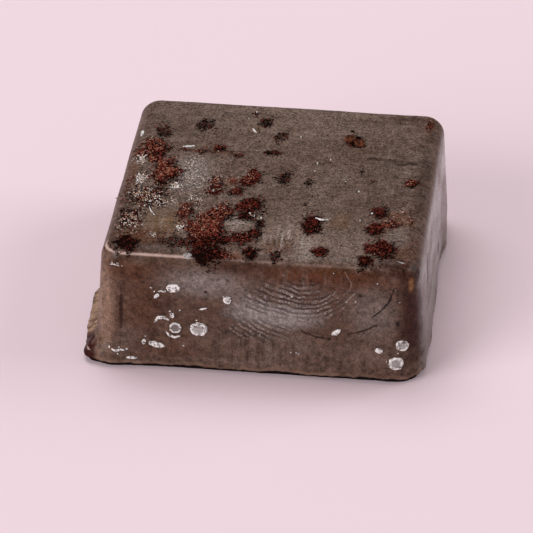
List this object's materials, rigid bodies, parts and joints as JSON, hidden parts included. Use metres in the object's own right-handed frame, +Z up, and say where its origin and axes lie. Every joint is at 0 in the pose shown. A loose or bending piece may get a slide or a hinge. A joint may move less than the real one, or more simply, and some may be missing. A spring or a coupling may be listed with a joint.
{
  "type": "chocolate bonbon",
  "caption": "Low square moulded chocolate bonbon with drafted sides, rounded edges and a wavy foot, with cocoa crumbs stuck to its top and pale flakes to its front.",
  "frame": {"origin": "middle of the flat base, on the surface that the bonbon rests on", "axes": "+Z up out of the base, -Y towards the front face that the picture shows, +X to its right"},
  "size_m": [0.0317, 0.0303, 0.0121],
  "materials": {
    "chocolate": "satin brown chocolate with a grey bloom",
    "cocoa": "dry dark red-brown cocoa crumbs",
    "flake": "dull pale flakes"
  },
  "bodies": {
    "root": {"bonbon": "chocolate"}
  },
  "joints": []
}
